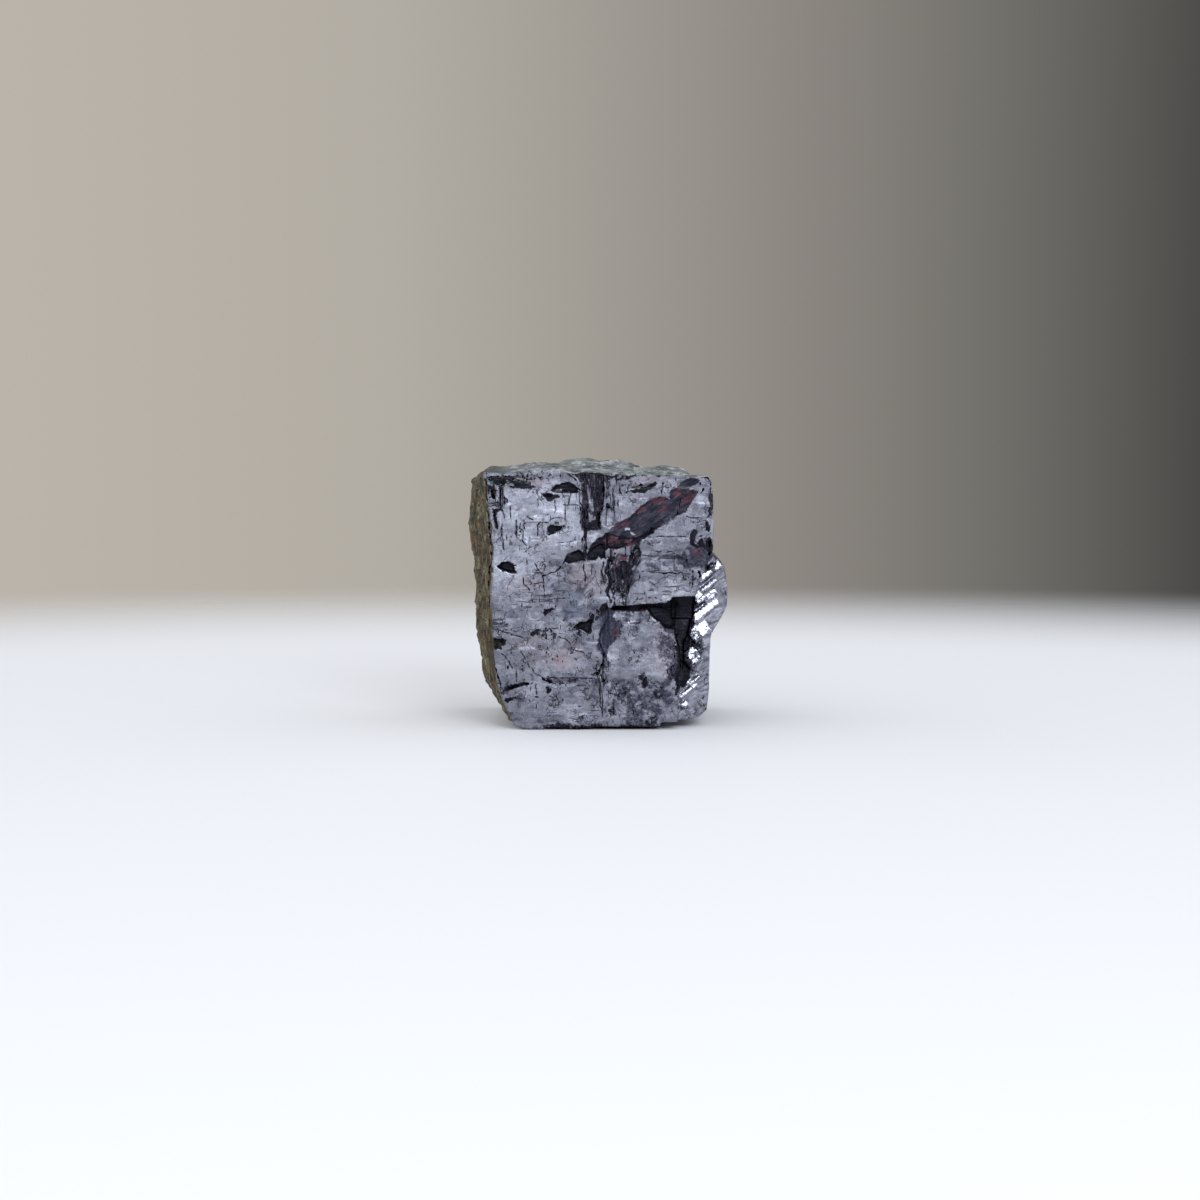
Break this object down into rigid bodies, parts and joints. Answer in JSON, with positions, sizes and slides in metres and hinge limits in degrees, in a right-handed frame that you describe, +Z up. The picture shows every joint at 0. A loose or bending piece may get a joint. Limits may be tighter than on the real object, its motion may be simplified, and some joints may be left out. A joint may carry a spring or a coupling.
{
  "type": "galena specimen",
  "caption": "Cleaved block of galena with flat grey faces, square steps, a knocked-off corner and a weathered rind.",
  "frame": {"origin": "on the surface that the stone rests on, under the middle of its bounding box", "axes": "+Z up; the main cleavage face looks along -Y and the weathered rind is on the -X side"},
  "size_m": [0.0294, 0.024, 0.03],
  "materials": {
    "galena": "satin"
  },
  "bodies": {
    "root": {"galena_block": "galena"}
  },
  "joints": []
}
